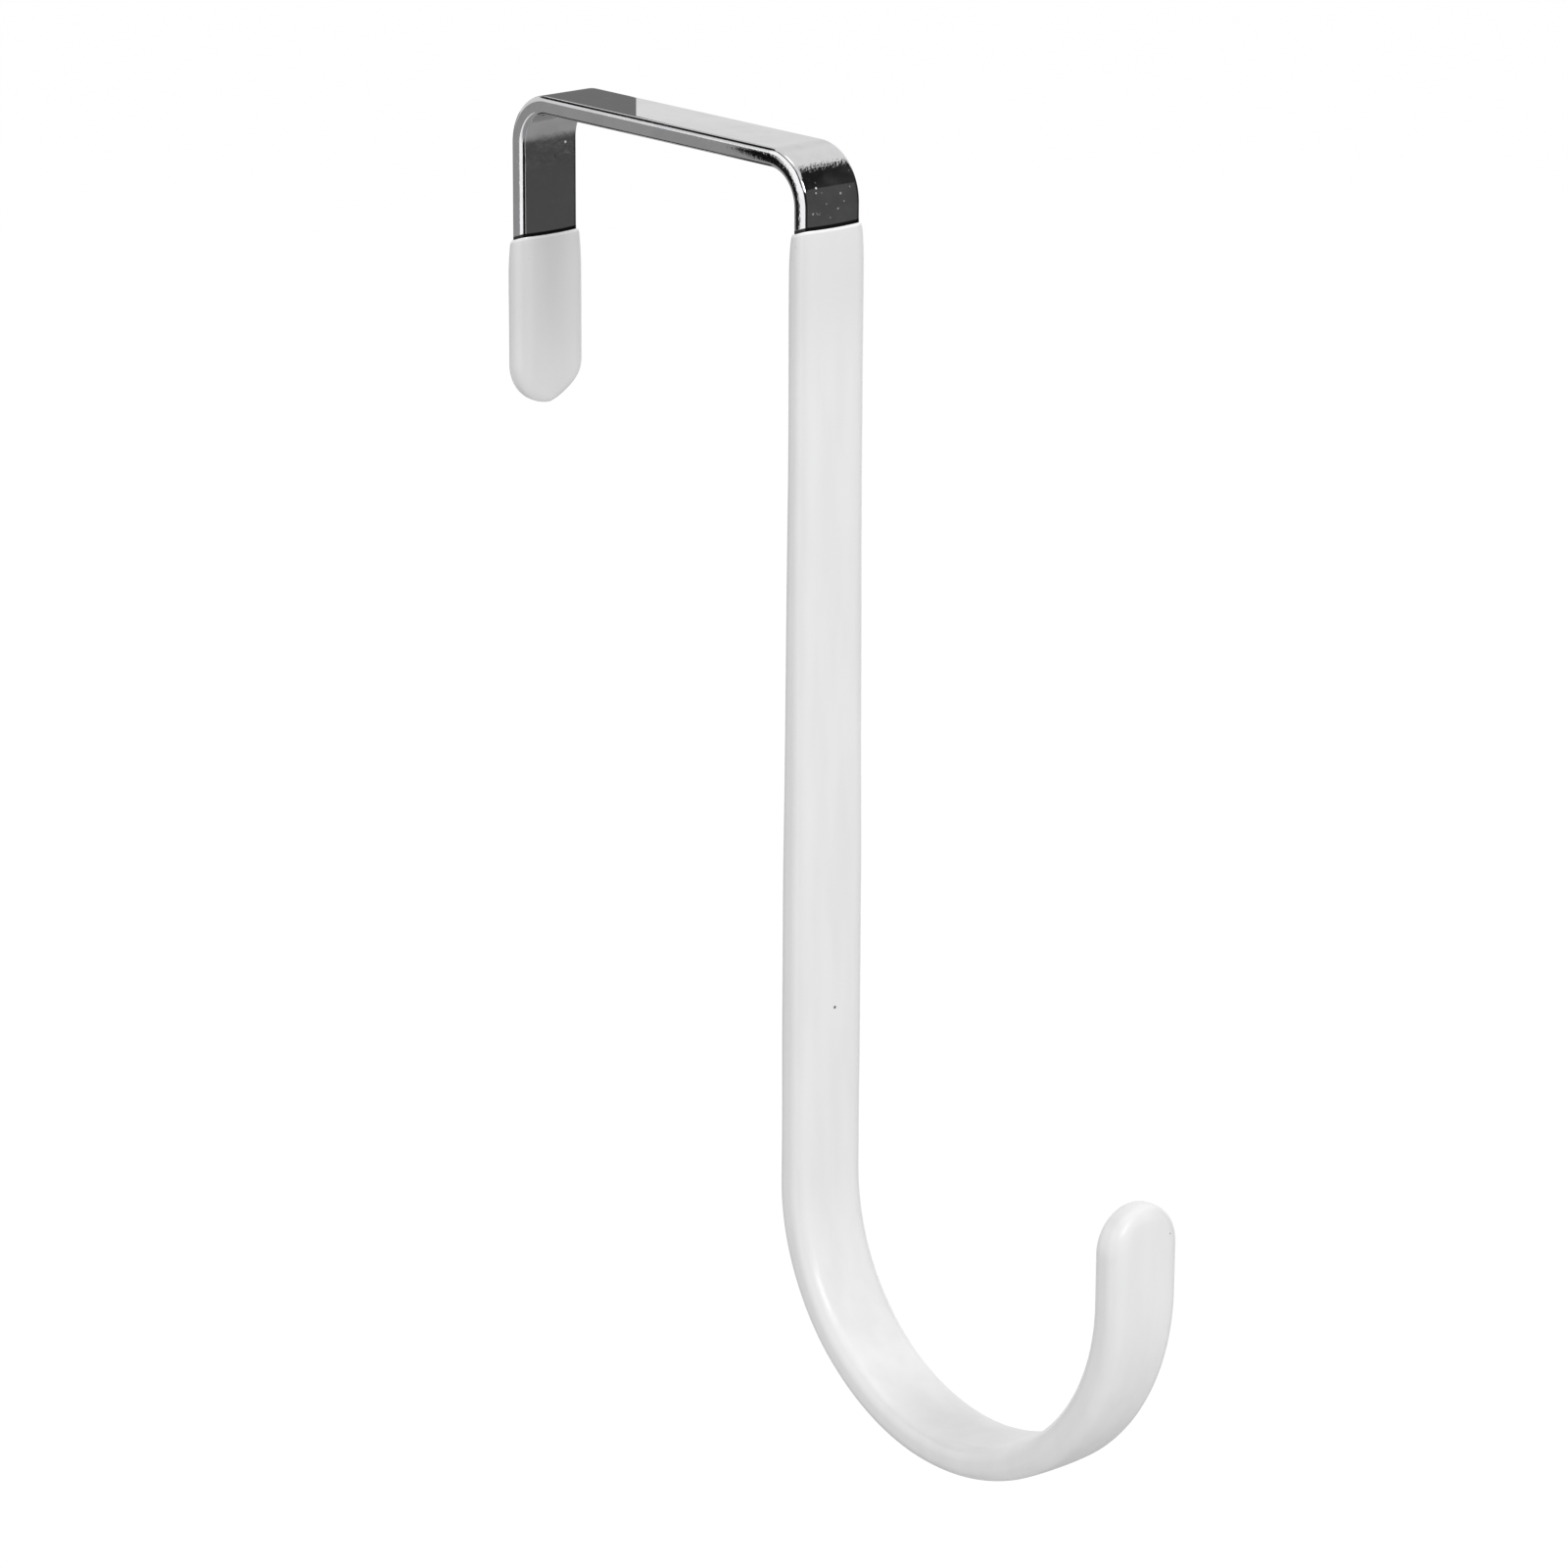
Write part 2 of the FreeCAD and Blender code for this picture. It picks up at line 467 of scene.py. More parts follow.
@dataclass(frozen=True)
class DippedVinyl:
    """Soft white vinyl as it comes out of the dip bath: satin, drained in faint runs, with pinholes."""

    dip_line: DipLine
    name: str = "white_vinyl"
    colour: Colour = (0.795, 0.795, 0.795, 1.0)
    thick_colour: Colour = (0.825, 0.825, 0.825, 1.0)
    # Painted shade: a greyer colour that the sleeves take on towards the lip
    painted_shade_colour: Colour = (0.765, 0.765, 0.765, 1.0)
    # Painted highlight: a whiter colour along the top of the lip
    painted_highlight_colour: Colour = (0.93, 0.93, 0.93, 1.0)
    speck_colour: Colour = (0.10, 0.095, 0.09, 1.0)
    runs: Pattern = Pattern(2.6, 2.0, (1, 1, 7))
    clouds: Pattern = Pattern(9.0)
    peel: Pattern = Pattern(0.8)

    # Levels of the runs' pattern, and of the height above the dip line
    run_rise: Rise = (0.3, 0.7)
    # Heights below the dip line over which the painted shade near the lip comes in, full within 6 mm of it
    painted_shade_rise: Rise = (-18.0, -6.0)
    # Heights below the dip line over which the painted highlight on the lip's top comes in
    painted_highlight_rise: Rise = (-0.50, -0.20)

    # Roughness, gloss and relief, and how much of them the patterns add
    roughness: float = 0.30
    cloud_roughness: float = 0.10
    peel_roughness: float = 0.04
    refraction: float = 1.5
    gloss: float = 0.35
    gloss_roughness: float = 0.15
    run_relief: float = 0.006
    peel_relief: float = 0.0014
    speck_depth: float = 0.3
    specks: tuple[Speck, ...] = (
        Speck((26.45, 0.20, -96.15), 0.24, 1.0),
        Speck((77.85, 3.30, -109.45), 0.24, 1.0),
        Speck((-22.58, -3.76, -17.20), 0.30, 0.14),
        Speck((26.12, 3.76, -14.91), 0.28, 0.12),
        Speck((26.40, 3.88, -100.04), 0.26, 0.12),
        Speck((26.01, -4.00, -6.83), 0.20, 0.12),
        Speck((24.52, -4.81, -7.94), 0.22, 0.14),
    )

    def material(self) -> bpy.types.Material:
        """The finish as a material."""
        made = bpy.data.materials.new(self.name)
        graph = Graph(made)
        place = graph.place()
        runs, peel = self.runs.over(place), self.peel.over(place)
        above = self.dip_line.above(place)
        colour = graph.mix(runs.eased(self.run_rise), self.colour, self.thick_colour)
        # Painted shade: greyer from 18 mm below the lip up to it
        colour = graph.mix(above.eased(self.painted_shade_rise), colour, self.painted_shade_colour)
        # Painted highlight: the lip's top is whiter
        colour = graph.mix(above.eased(self.painted_highlight_rise), colour, self.painted_highlight_colour)
        relief = runs * self.run_relief + peel * self.peel_relief
        for speck in self.specks:
            spot = speck.over(place)
            colour = graph.mix(spot, colour, self.speck_colour)
            relief = relief - spot * (speck.radius * self.speck_depth)
        roughness = self.roughness + self.clouds.over(place) * self.cloud_roughness
        graph.finish(graph.node("ShaderNodeBsdfPrincipled", {}, {
            "Base Color": colour,
            "Roughness": roughness + peel * self.peel_roughness,
            "IOR": self.refraction,
            "Coat Weight": self.gloss,
            "Coat Roughness": self.gloss_roughness,
            "Normal": graph.bump(relief),
        }))
        return made


# Forms

class Way(Enum):
    """Which way along a path something lies, as a sign."""

    ONWARDS = 1
    BACKWARDS = -1


@dataclass(frozen=True)
class Outline:
    """A rounded rectangle across the strip, by half its width, half its thickness and its corner radius.

    Crown rounds its thin sides a little. Softness goes from none to that of a coat which drew itself in
    over the corners as it set, so that the section is nearly an oval.
    """

    half_wide: float
    half_thick: float
    corner: float
    crown: float = 0.0
    softness: float = 0.0

    CORNER_STEPS: ClassVar[int] = 10
    THIN_SIDE: ClassVar[tuple[float, ...]] = (0.04, 0.27, 0.5, 0.73, 0.96)
    WIDE_FACE: ClassVar[tuple[float, ...]] = (0.012, *(part / 14 for part in range(1, 14)), 0.988)
    SOFT_POWER: ClassVar[float] = 3.0

    @classmethod
    def thin_middle(cls) -> int:
        """The number of the point in the middle of the first thin side."""
        return cls.CORNER_STEPS + 1 + len(cls.THIN_SIDE) // 2

    def loop(self) -> Loop:
        """The outline's points, once round.

        Returns:
            (through the thickness, along the width) pairs, in millimetres, as many for every outline.
        """
        corners = []
        steps = range(self.CORNER_STEPS + 1)
        for quarter, (side, end) in enumerate(((1, 1), (-1, 1), (-1, -1), (1, -1))):
            deep, wide = side * (self.half_thick - self.corner), end * (self.half_wide - self.corner)
            turns = [math.radians(90 * (quarter + step / self.CORNER_STEPS)) for step in steps]
            corners.append([(deep + self.corner * math.cos(turn), wide + self.corner * math.sin(turn))
                            for turn in turns])
        points = []
        for quarter, corner in enumerate(corners):
            following = corners[(quarter + 1) % len(corners)]
            points += corner
            for part in self.WIDE_FACE if quarter % 2 else self.THIN_SIDE:
                points += mixed(corner[-1:], following[:1], part)
        return [self._shaped(deep, wide) for deep, wide in points]

    def _shaped(self, deep: float, wide: float) -> tuple[float, float]:
        """A point of the rounded rectangle once crown and softness have had their way with it."""
        power = self.SOFT_POWER
        full = (abs(deep / self.half_thick) ** power + abs(wide / self.half_wide) ** power) ** (1 / power)
        drawn = 1 + self.softness * (1 / full - 1)
        crowned = 1 - self.crown / self.half_wide * (deep / self.half_thick) ** 2
        return deep * drawn, wide * drawn * crowned


def mixed(first: Loop, second: Loop, share: float) -> Loop:
    """A loop that lies between two others, point by point, at that share of the way."""
    return [(a + (c - a) * share, b + (d - b) * share) for (a, b), (c, d) in zip(first, second)]


@dataclass(frozen=True)
class Station:
    """A place on the strip's middle line, with the way onwards and the distance from the path's start."""

    centre: Vector
    onwards: Vector
    travelled: float

    @property
    def outer(self) -> Vector:
        """The way out through the face that is on the outside of the first bend."""
        return self.onwards.cross(ALONG_WIDTH)

    def point(self, deep: float, wide: float, ahead: float = 0.0) -> Vector:
        """The point so far from the station towards the outer face, along the width and onwards."""
        return self.centre + self.outer * deep + ALONG_WIDTH * wide + self.onwards * ahead


class BentPath:
    """A middle line walked as the strip is bent, straight ahead and round in turns."""

    def __init__(self, start: Point, onwards: Point) -> None:
        """Puts the first station at a point, facing a way."""
        self.stations = [Station(Vector(start), Vector(onwards), 0.0)]

    def ahead(self, length: float, step: float = 1.0) -> "BentPath":
        """Walks straight on.

        Args:
            length: How far.
            step: About how far apart the stations are.

        Returns:
            The path itself, so that walks can be chained.
        """
        last = self.stations[-1]
        count = max(1, round(length / step))
        for number in range(1, count + 1):
            gone = length * number / count
            centre = last.centre + last.onwards * gone
            self.stations.append(Station(centre, last.onwards, last.travelled + gone))
        return self

    def turn(self, radius: float, degrees: float, step: float = 2.0) -> "BentPath":
        """Walks round a bend.

        Args:
            radius: The bend's radius at the middle line.
            degrees: The turn about +Y.
            step: About how many degrees lie between stations.

        Returns:
            The path itself, so that walks can be chained.
        """
        last = self.stations[-1]
        pivot = last.centre - last.outer * math.copysign(radius, degrees)
        count = max(1, round(abs(degrees) / step))
        for number in range(1, count + 1):
            angle = math.radians(degrees * number / count)
            turned = Matrix.Rotation(angle, 3, "Y")
            centre = pivot + turned @ (last.centre - pivot)
            travelled = last.travelled + radius * abs(angle)
            self.stations.append(Station(centre, turned @ last.onwards, travelled))
        return self


class Skin:
    """A closed mesh that grows ring by ring, all rings with as many points."""

    WELD: ClassVar[float] = 0.0005
    SLIVER: ClassVar[float] = 0.0002

    def __init__(self) -> None:
        """Starts with nothing."""
        self.points: list[Vector] = []
        self.faces: list[tuple[int, ...]] = []
        self.ring_size = 0

    def ring(self, points: Sequence[Vector]) -> None:
        """Adds a ring and stitches it to the one before."""
        start = len(self.points)
        self.points += [point * METRES for point in points]
        if self.ring_size:
            first = start - self.ring_size
            for number in range(self.ring_size):
                following = (number + 1) % self.ring_size
                self.faces.append((first + number, first + following, start + following, start + number))
        self.ring_size = len(points)

    def close_flat(self) -> None:
        """Closes the last ring, each point to the one that faces it through the strip's thickness."""
        count = self.ring_size
        start = len(self.points) - count
        middle = Outline.thin_middle()
        for number in range(middle, middle + count // 2):
            ring = (number, number + 1, 2 * middle - number - 1, 2 * middle - number)
            corners = dict.fromkeys(start + point % count for point in ring)
            self.faces.append(tuple(corners))

    def start_flat(self, rings: Iterable[Sequence[Vector]]) -> None:
        """Starts with a flat end, whose rings are given from the nearest to the one that is closed."""
        farthest, *nearer = reversed(list(rings))
        self.ring(farthest)
        self.close_flat()
        for ring in nearer:
            self.ring(ring)

    def mesh(self, name: str) -> bpy.types.Mesh:
        """The skin as a smooth mesh of that name, with its doubled points welded."""
        made = bpy.data.meshes.new(name)
        made.from_pydata(self.points, [], self.faces)
        work = bmesh.new()
        work.from_mesh(made)
        bmesh.ops.remove_doubles(work, verts=work.verts, dist=self.WELD * METRES)
        bmesh.ops.dissolve_degenerate(work, edges=work.edges, dist=self.SLIVER * METRES)
        bmesh.ops.recalc_face_normals(work, faces=work.faces)
        for face in work.faces:
            face.smooth = True
        work.to_mesh(made)
        work.free()
        return made


def added(name: str, data: bpy.types.ID) -> bpy.types.Object:
    """A new object in the scene, of that name and data."""
    made = bpy.data.objects.new(name, data)
    bpy.context.scene.collection.objects.link(made)
    return made


def dressed(name: str, mesh: bpy.types.Mesh, finish: bpy.types.Material, node: str) -> bpy.types.Object:
    """Puts a mesh in the scene in place of a solid.

    Args:
        name: The piece's name.
        mesh: Its mesh.
        finish: Its material.
        node: The solid that it stands for.

    Returns:
        The piece.
    """
    piece = added(name, mesh)
    mesh.materials.append(finish)
    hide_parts(node)
    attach(piece, "root")
    return piece


# The object

# Decimals of a millimetre in lengths read from the solids' boxes, which facets make microns smaller
FRAME_DIGITS = 2


class Leg(Enum):
    """The strip's two legs, each by the sign of its X."""

    BACK = -1
    SHANK = 1


@dataclass(frozen=True)
class SteelStrip:
    """The flat-rolled strip, from its end behind the door to the hook's tip."""

    width: float
    thickness: float
    leg_x: float
    back_leg_length: float
    shank_length: float
    hook_radius: float
    tip_length: float = 9.8
    bend_radius: float = 4.0
    edge_radius: float = 0.55
    edge_crown: float = 0.035

    BEND_STEP: ClassVar[float] = 1.5
    SHANK_STEP: ClassVar[float] = 1.5
    END_SHARES: ClassVar[tuple[float, ...]] = (0.25, 0.5, 0.75, 1.0)

    @classmethod
    def in_frame(cls) -> "SteelStrip":
        """The strip whose lengths are worked out from the solids' boxes."""
        low, high = (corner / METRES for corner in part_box("steel_strip"))
        coated_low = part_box("back_leg_coating")[0] / METRES
        leg_x = -low.x - high.z / 2
        hook_radius = (high.x - leg_x - 1.5 * high.z) / 2
        lengths = {
            "width": high.y - low.y,
            "thickness": high.z,
            "leg_x": leg_x,
            "back_leg_length": -coated_low.z - (low.x - coated_low.x),
            "shank_length": -low.z - cls.bend_radius - hook_radius - high.z,
            "hook_radius": hook_radius,
        }
        return cls(**{name: round(length, FRAME_DIGITS) for name, length in lengths.items()})

    @property
    def outline(self) -> Outline:
        """The bare strip's section."""
        return Outline(self.width / 2, self.thickness / 2, self.edge_radius, self.edge_crown)

    @property
    def bend_middle(self) -> float:
        """The radius of the two bare bends at the middle line."""
        return self.bend_radius + self.thickness / 2

    @property
    def hook_middle(self) -> float:
        """The radius of the hook at the middle line."""
        return self.hook_radius + self.thickness / 2

    @property
    def back_end_z(self) -> float:
        """The height at which the back leg's half-round end begins."""
        return self.width / 2 - self.back_leg_length

    @property
    def shank_foot_z(self) -> float:
        """The height at which the shank goes over into the hook."""
        return -self.bend_radius - self.shank_length

    def whole_path(self) -> BentPath:
        """The middle line from the start of one half-round end to the start of the other."""
        path = BentPath((-self.leg_x, 0, self.back_end_z), (0, 0, 1))
        path.ahead(-self.bend_radius - self.back_end_z).turn(self.bend_middle, 90, self.BEND_STEP)
        path.ahead(2 * (self.leg_x - self.bend_middle)).turn(self.bend_middle, 90, self.BEND_STEP)
        path.ahead(self.shank_length, self.SHANK_STEP).turn(self.hook_middle, -180)
        return path.ahead(self.tip_length - self.width / 2)

    def sheared_rings(self, station: Station, way: Way) -> Iterator[list[Vector]]:
        """The rings of an end cut to a half circle, square through the thickness.

        Args:
            station: Where the end begins.
            way: Which way the end lies.

        Yields:
            Each ring's points, from the nearest to the farthest, which lies on the cut.
        """
        reach = self.width / 2
        loop = self.outline.loop()
        for share in self.END_SHARES:
            part = way.value * share
            yield [station.point(deep, wide, part * math.sqrt(max(reach ** 2 - wide ** 2, 0.0)))
                   for deep, wide in loop]

    def build(self, finish: bpy.types.Material) -> bpy.types.Object:
        """Makes the strip and dresses it in a finish."""
        skin = Skin()
        stations = self.whole_path().stations
        skin.start_flat(self.sheared_rings(stations[0], Way.BACKWARDS))
        loop = self.outline.loop()
        for station in stations:
            skin.ring([station.point(deep, wide) for deep, wide in loop])
        for ring in self.sheared_rings(stations[-1], Way.ONWARDS):
            skin.ring(ring)
        skin.close_flat()
        return dressed("plated_strip", skin.mesh("plated_strip"), finish, "steel_strip")


@dataclass(frozen=True)
class VinylSleeve:
    """One dip-coated end: an outer skin with a rounded lip, and the cavity that the steel fills.

    The coat is thin at the lip, soon reaches its top thickness, and grows to the full one below the even
    length. Lean is how much flatter the closed end is towards +Y, where less vinyl stayed.
    """

    name: str
    node: str
    leg: Leg
    strip: SteelStrip
    dip_line: DipLine
    top_coat: float = 0.75
    even_length: float = 30.0
    thickening_length: float = 45.0
    corner: float = 1.57
    softness: float = 0.5
    lean: float = 0.0
    waviness: float = 0.05
    wave_sizes: Point = (8.0, 6.0, 15.0)

    # The lip: its coat, how far down that is settled and the slant is level, and the rim against the steel
    lip_coat: float = 0.56
    lip_radius: float = 0.36
    settled_by: float = 4.5
    level_by: float = 8.0
    rim_depth: float = 0.55
    rim_gap: float = 0.06
    gap_depths: tuple[float, ...] = (0.20, 0.07)
    flat_share: float = 0.08
    flat_depth: float = 0.012

    # Steps along the leg, round the hook, up the tip and round the lip, and how many make the dome
    leg_step: float = 0.5
    hook_step: float = 1.25
    tip_step: float = 0.6
    lip_step: int = 10
    dome_steps: int = 24

    @property
    def leg_x(self) -> float:
        """Where the leg's middle line stands."""
        return self.leg.value * self.strip.leg_x

    @cached_property
    def full_coat(self) -> float:
        """The coat's full thickness: how far the solid is wider than the strip."""
        return round((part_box(self.node)[1].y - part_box("steel_strip")[1].y) / METRES, FRAME_DIGITS)

    @property
    def top_z(self) -> float:
        """How high the lip's middle stands."""
        return self.leg_x * self.dip_line.slope - self.dip_line.drop

    def dipped_path(self) -> BentPath:
        """The middle line below the lip: short steps down the leg, and round the hook if there is one."""
        strip = self.strip
        path = BentPath((self.leg_x, 0, self.top_z), (0, 0, -1))
        if self.leg is Leg.BACK:
            return path.ahead(self.top_z - strip.back_end_z, self.leg_step)
        path.ahead(self.top_z - strip.shank_foot_z, self.leg_step)
        path.turn(strip.hook_middle, -180, self.hook_step)
        return path.ahead(strip.tip_length - strip.width / 2, self.tip_step)

    def coat_at(self, station: Station) -> float:
        """The coat's thickness at a station: thin at the lip, then even, then full."""
        past_even = -self.strip.bend_radius - self.even_length - station.centre.z
        grown = min(max(past_even / self.thickening_length, 0.0), 1.0)
        coat = self.top_coat + (self.full_coat - self.top_coat) * grown
        unsettled = 1 - min(station.travelled / self.settled_by, 1.0)
        return self.lip_coat + (coat - self.lip_coat) * (1 - unsettled ** 2)

    def outer_loop(self, station: Station) -> Loop:
        """The vinyl's outline at a station, a little thinner here and there, as a drained coat is."""
        full = self._coated(self.coat_at(station))
        thinned = self._coated(self.coat_at(station) - self.waviness)
        points = []
        for before, after in zip(full, thinned):
            where = station.point(*before)
            across, along, up = self.wave_sizes
            wave = noise.noise(Vector((where.x / across, abs(where.y) / along, where.z / up)))
            points += mixed([before], [after], min(max(0.5 + wave, 0.0), 1.0))
        return points

    def ring(self, station: Station, loop: Loop, below_lip: float) -> list[Vector]:
        """One ring on the leg, slanted like the lip near the lip and level further down.

        Args:
            station: The place on the middle line.
            loop: The ring's outline.
            below_lip: How far below the lip it lies.

        Returns:
            The ring's points.
        """
        settle = min(below_lip / self.level_by, 1.0)
        level = settle * settle * (3 - 2 * settle)
        points = []
        for deep, wide in loop:
            point = station.point(deep, wide)
            if level < 1.0:
                slanted = self.dip_line.height(point) - below_lip
                point.z = slanted + (station.centre.z - slanted) * level
            points.append(point)
        return points

    def build(self, finish: bpy.types.Material) -> bpy.types.Object:
        """Makes the sleeve and dresses it in a finish."""
        skin = Skin()
        stations = self.dipped_path().stations
        self._cavity(skin, stations)
        self._rim(skin, stations[0])
        self._outer(skin, stations)
        self._dome(skin, stations[-1])
        return dressed(self.name, skin.mesh(self.name), finish, self.node)

    def _coated(self, coat: float) -> Loop:
        """The outline of the vinyl for a coat of that thickness."""
        half_wide, half_thick = self.strip.outline.half_wide + coat, self.strip.outline.half_thick + coat
        return Outline(half_wide, half_thick, self.corner, softness=self.softness).loop()

    def _cavity(self, skin: Skin, stations: Sequence[Station]) -> None:
        """Adds the wall that lies on the steel, from its closed end up to the rim."""
        skin.start_flat(self.strip.sheared_rings(stations[-1], Way.ONWARDS))
        steel = self.strip.outline.loop()
        for station in reversed(stations[2::2]):
            skin.ring(self.ring(station, steel, station.travelled))

    def _rim(self, skin: Skin, top: Station) -> None:
        """Adds the rim: a hair's gap against the steel, a narrow flat and the rounded lip."""
        steel = self.strip.outline
        gap = Outline(steel.half_wide + self.rim_gap, steel.half_thick + self.rim_gap,
                      steel.corner + self.rim_gap, steel.crown).loop()
        outer = self.outer_loop(top)
        skin.ring(self.ring(top, steel.loop(), self.rim_depth))
        for depth in self.gap_depths:
            skin.ring(self.ring(top, gap, depth))
        skin.ring(self.ring(top, mixed(gap, outer, self.flat_share), self.flat_depth))
        span = self.lip_coat - self.rim_gap
        for turn in range(90, 0, -self.lip_step):
            angle = math.radians(turn)
            share = 1 - self.lip_radius * (1 - math.cos(angle)) / span
            skin.ring(self.ring(top, mixed(gap, outer, share), self.lip_radius * (1 - math.sin(angle))))

    def _outer(self, skin: Skin, stations: Sequence[Station]) -> None:
        """Adds the outer skin, from below the lip to where the closed end begins."""
        for station in stations:
            if station.travelled >= self.lip_radius:
                skin.ring(self.ring(station, self.outer_loop(station), station.travelled))

    def _dome(self, skin: Skin, last: Station) -> None:
        """Adds the closed end: one half of the outline swung over to the other."""
        loop = self.outer_loop(last)
        for step in range(1, self.dome_steps + 1):
            turn = math.radians(90 * step / self.dome_steps)
            leant = 1 - self.lean * math.sin(2 * turn)
            ring = []
            for deep, wide in loop:
                swung = abs(wide) * math.sin(turn) * (leant if wide > 0 else 1.0)
                ring.append(last.point(deep, wide * math.cos(turn), swung))
            skin.ring(ring)


# The studio

@dataclass(frozen=True)
class Viewpoint:
    """Where the camera stands: round and above the target, a little rolled, with a long lens."""

    azimuth: float = -41.522
    elevation: float = 16.899
    roll: float = 0.294
    distance: float = 725.66
    target: Point = (19.233, -1.299, -71.06)
    lens: float = 147.57
    sensor_width: float = 36.0
    nearest: float = 0.01
    farthest: float = 50.0

    def build(self) -> None:
        """Makes the camera and gives it to the scene."""
        back = towards(self.azimuth, self.elevation)
        right = UP.cross(back).normalized()
        up = back.cross(right)
        lean = math.radians(self.roll)
        side = right * math.cos(lean) + up * math.sin(lean)
        top = up * math.cos(lean) - right * math.sin(lean)
        data = bpy.data.cameras.new("camera")
        data.sensor_width = self.sensor_width
        data.lens = self.lens
        data.clip_start, data.clip_end = self.nearest, self.farthest
        camera = added("camera", data)
        axes = Matrix((side, top, back)).transposed().to_4x4()
        place = (Vector(self.target) + back * self.distance) * METRES
        camera.matrix_world = Matrix.Translation(place) @ axes
        bpy.context.scene.camera = camera


@dataclass(frozen=True)
class Lamp:
    """A square soft lamp that faces the object, of a size and at a distance in metres."""

    name: str
    azimuth: float
    elevation: float
    distance: float
    size: float
    watts: float

    def build(self, target: Point) -> None:
        """Hangs the lamp so that it faces a point, in metres."""
        data = bpy.data.lights.new(self.name, "AREA")
        data.shape = "SQUARE"
        data.size = self.size
        data.energy = self.watts
        lamp = added(self.name, data)
        out = towards(self.azimuth, self.elevation)
        lamp.location = Vector(target) + out * self.distance
        lamp.rotation_mode = "QUATERNION"
        lamp.rotation_quaternion = out.to_track_quat("Z", "Y")
        lamp.visible_glossy = False


@dataclass(frozen=True)
class WallCard:
    """A card on the studio's white walls, which bright metal shows, by its sides, its foot and its top.

    The sides are azimuths from SEAM up to a full turn more, the foot and the top are elevations, and
    level is how bright it is, where 1 is white. Soft is how many degrees its border takes on either side.
    """

    name: str
    left: float
    right: float
    foot: float
    top: float
    level: float
    soft: float = 0.8

    SEAM: ClassVar[float] = 120.0

    def over(self, around: Wire, above: Wire, wall: Input) -> Wire:
        """The wall's level with this card laid over it, by the azimuth and elevation looked to."""
        share = (around.between(self.left, self.right, self.soft)
                 * above.between(self.foot, self.top, self.soft))
        return wall * (1.0 - share) + share * self.level


@dataclass(frozen=True)
class StandingCard:
    """A card that stands close to the strip, where only reflections show it.

    It stands square across the azimuth that it lies in, as seen from a point on the strip. Its corners
    are (to the right of that line, height) pairs in millimetres.
    """

    name: str
    seen_from: tuple[float, float]
    azimuth: float
    distance: float
    corners: Loop
    level: float

    def build(self) -> None:
        """Stands the card up."""
        ahead = towards(self.azimuth)
        right = ahead.cross(UP)
        foot = Vector((*self.seen_from, 0.0)) + ahead * self.distance
        points = [(foot + right * across + UP * height) * METRES for across, height in self.corners]
        mesh = bpy.data.meshes.new(self.name)
        mesh.from_pydata(points, [], [tuple(range(len(points)))])
        card = added(self.name, mesh)
        for rays in ("camera", "diffuse", "shadow", "transmission"):
            setattr(card, f"visible_{rays}", False)
        material = bpy.data.materials.new(self.name)
        graph = Graph(material)
        graph.finish(graph.glow("ShaderNodeEmission", self.level))
        mesh.materials.append(material)


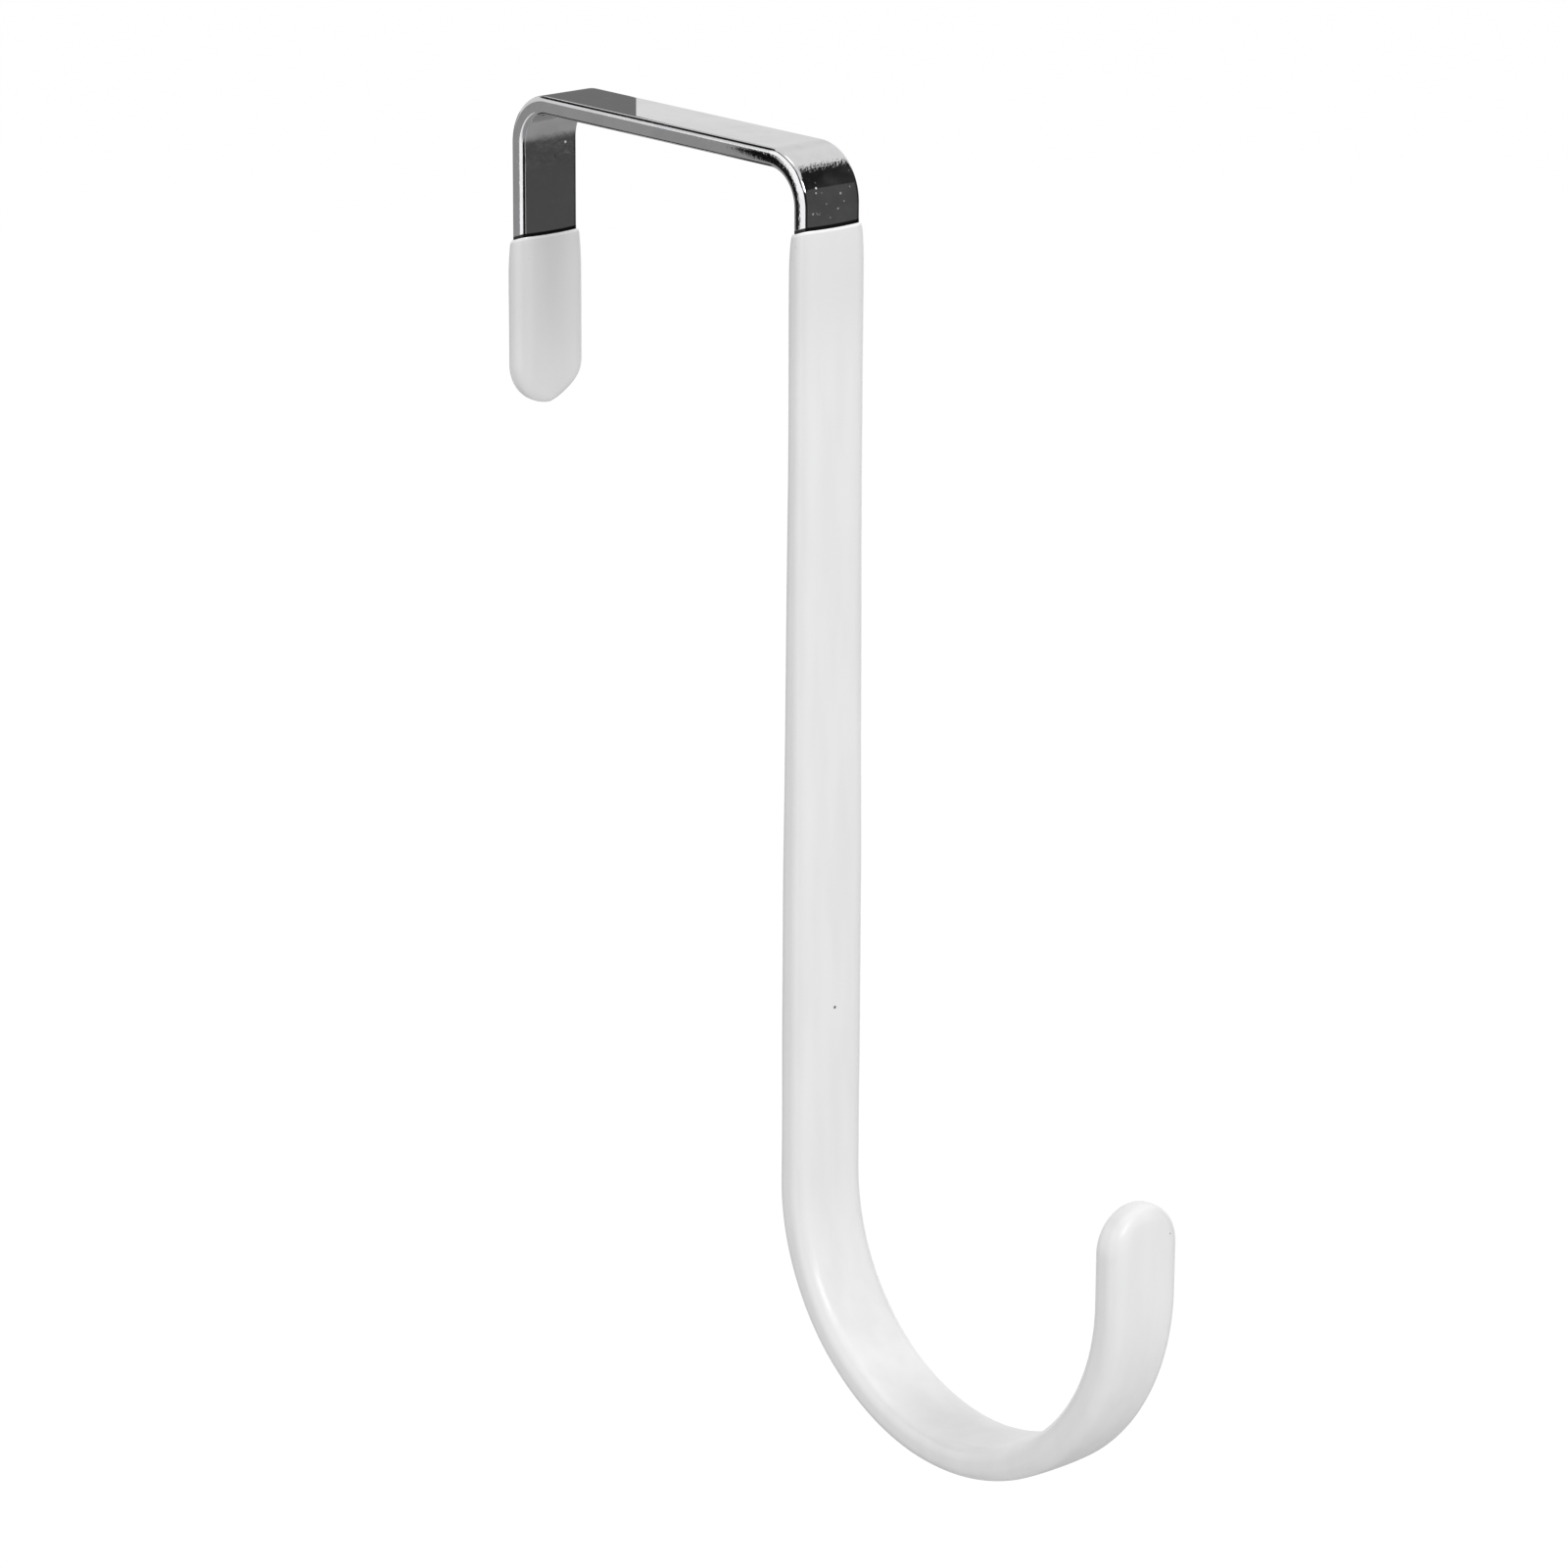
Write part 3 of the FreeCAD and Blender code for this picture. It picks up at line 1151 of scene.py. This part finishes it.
@dataclass(frozen=True)
class Studio:
    """A white floor, pale light from all round, soft lamps, and the cards that the bright metal shows.

    Each wall card lies over those before it.
    """

    floor_z: float = -0.30
    floor_size: float = 8.0
    floor_squares: int = 8
    floor_white: float = 1.085
    floor_colour: Colour = (0.70, 0.70, 0.70, 1.0)
    shadow_share: float = 0.16
    ambient: float = 0.735
    middle: Point = (0.02, 0.0, -0.07)
    lamps: tuple[Lamp, ...] = (
        Lamp("key_lamp", 1.0, 40.0, 1.2, 0.28, 4.4),
        Lamp("top_lamp", 140.0, 75.0, 1.2, 0.8, 1.2),
        Lamp("side_lamp", -45.0, 10.0, 1.2, 0.8, 1.5),
        Lamp("back_lamp", 165.0, 10.0, 1.2, 0.8, 1.4),
    )
    wall_cards: tuple[WallCard, ...] = (
        WallCard("left_wall", 222.0, 300.0, -30.0, 45.0, 1.5),
        WallCard("far_wall", 128.0, 165.0, -12.0, 50.0, 0.90, 8.0),
        WallCard("left_flag", 304.0, 354.0, -35.0, 22.0, 0.010),
        WallCard("front_card", 351.0, 407.0, -60.0, 23.0, 0.085, 0.6),
        WallCard("overhead_flag", 345.0, 441.0, 21.2, 48.0, 0.018, 0.6),
        WallCard("right_flag", 404.6, 458.0, -60.0, 23.0, 0.012, 0.6),
        WallCard("softbox", 334.0, 359.0, 23.0, 43.0, 6.0, 2.0),
        WallCard("ceiling_light", 120.0, 480.0, 77.0, 95.0, 2.2, 3.0),
        WallCard("behind_flag", 147.0, 165.0, 22.0, 31.0, 0.02),
        WallCard("back_flag", 168.0, 196.0, -30.0, 0.0, 0.05),
        WallCard("near_card", 190.0, 222.8, -60.0, -7.8, 0.40, 0.4),
        WallCard("corner_flag", 170.0, 214.0, 29.0, 53.0, 0.010),
        WallCard("bend_flag", 208.0, 288.0, 46.5, 58.0, 0.010),
        WallCard("drop_flag", 284.0, 310.0, 18.0, 58.0, 0.010),
        WallCard("table", 90.0, 510.0, -110.0, -22.0, 0.40, 13.0),
        WallCard("foot_flag", 165.0, 207.0, -58.0, -35.0, 0.02),
    )
    standing_cards: tuple[StandingCard, ...] = (
        StandingCard("bridge_card", (-7.32, -0.55), 139.84, 40.0, (
            (0, -6), (0, 24), (-18, 24), (-18, -6)), 0.20),
        StandingCard("leg_flag", (14.4, -4.1), 221.1, 39.2, (
            (0.5, -6.4), (-1.6, -8.6), (-2.8, -10.6), (-3.4, -13.0), (-3.6, -24.0), (-7.4, -24.0),
            (-7.4, -13.0), (-7.0, -9.5), (-6.0, -7.4), (-4.6, -5.8), (-2.7, -5.0), (0.5, -5.4)), 0.008),
    )

    def build(self) -> None:
        """Sets up the floor, the world, the cards and the lamps."""
        self._floor()
        self._world()
        for card in self.standing_cards:
            card.build()
        for lamp in self.lamps:
            lamp.build(self.middle)

    def _floor(self) -> None:
        """Lays the floor, which is seen as white with a faint shadow on it."""
        work = bmesh.new()
        squares = self.floor_squares
        bmesh.ops.create_grid(work, x_segments=squares, y_segments=squares, size=self.floor_size / 2)
        mesh = bpy.data.meshes.new("floor")
        work.to_mesh(mesh)
        work.free()
        floor = added("floor", mesh)
        floor.location = (0.0, 0.0, self.floor_z)
        floor.visible_glossy = False
        material = bpy.data.materials.new("white_floor")
        graph = Graph(material)
        seen = graph.rays("Is Camera Ray", "Is Glossy Ray", "Is Transmission Ray")
        lit = graph.node("ShaderNodeBsdfDiffuse", {}, {"Color": self.floor_colour})
        white = graph.glow("ShaderNodeEmission", self.floor_white)
        whitened = seen * (1.0 - self.shadow_share)
        graph.finish(graph.node("ShaderNodeMixShader", {}, {0: whitened, 1: lit, 2: white}))
        floor.data.materials.append(material)

    def _world(self) -> None:
        """Lights the room: white walls with their cards where gloss shows them, a pale level elsewhere."""
        world = bpy.data.worlds.new("studio")
        bpy.context.scene.world = world
        graph = Graph(world)
        around, above = self._bearings(graph.node("ShaderNodeTexCoord", {}, {}, "Generated"))
        wall: Input = 1.0
        for card in self.wall_cards:
            wall = card.over(around, above, wall)
        plain = graph.rays("Is Camera Ray", "Is Transmission Ray")
        mirrored = graph.rays("Is Glossy Ray")
        level = plain + mirrored * wall + (1.0 - plain - mirrored) * self.ambient
        graph.finish(graph.glow("ShaderNodeBackground", level))

    @staticmethod
    def _bearings(direction: Wire) -> tuple[Wire, Wire]:
        """The azimuth of a direction, from the wall cards' seam on, and its elevation."""
        opposite = WallCard.SEAM + 180.0
        ahead_x, ahead_y, _ = towards(opposite)
        east, north = direction.part("X"), direction.part("Y")
        ahead = east * ahead_x + north * ahead_y
        aside = north * ahead_x - east * ahead_y
        turned = direction.graph.node("ShaderNodeMath", {"operation": "ARCTAN2"}, {0: aside, 1: ahead})
        raised = direction.graph.node("ShaderNodeMath", {"operation": "ARCSINE"}, {0: direction.part("Z")})
        return turned * math.degrees(1) + opposite, raised * math.degrees(1)


def main() -> None:
    """Builds the part and its studio, one piece after another."""
    logging.basicConfig(level=logging.INFO, format="%(message)s")
    bpy.context.scene.view_settings.view_transform = "Standard"
    strip = SteelStrip.in_frame()
    dip_line = DipLine(strip.width / 2, strip.leg_x)
    back = VinylSleeve("back_leg_sleeve", "back_leg_coating", Leg.BACK, strip, dip_line, lean=0.13)
    front = VinylSleeve("hook_sleeve", "hook_coating", Leg.SHANK, strip, dip_line, leg_step=0.8)
    plating, vinyl = BrightPlating(dip_line).material(), DippedVinyl(dip_line).material()
    for form, finish in ((strip, plating), (back, vinyl), (front, vinyl)):
        piece = form.build(finish)
        log.info("%s: %d faces", piece.name, len(piece.data.polygons))
    Studio().build()
    Viewpoint().build()
    log.info("studio and camera are in place")


if __name__ == "__main__":
    main()
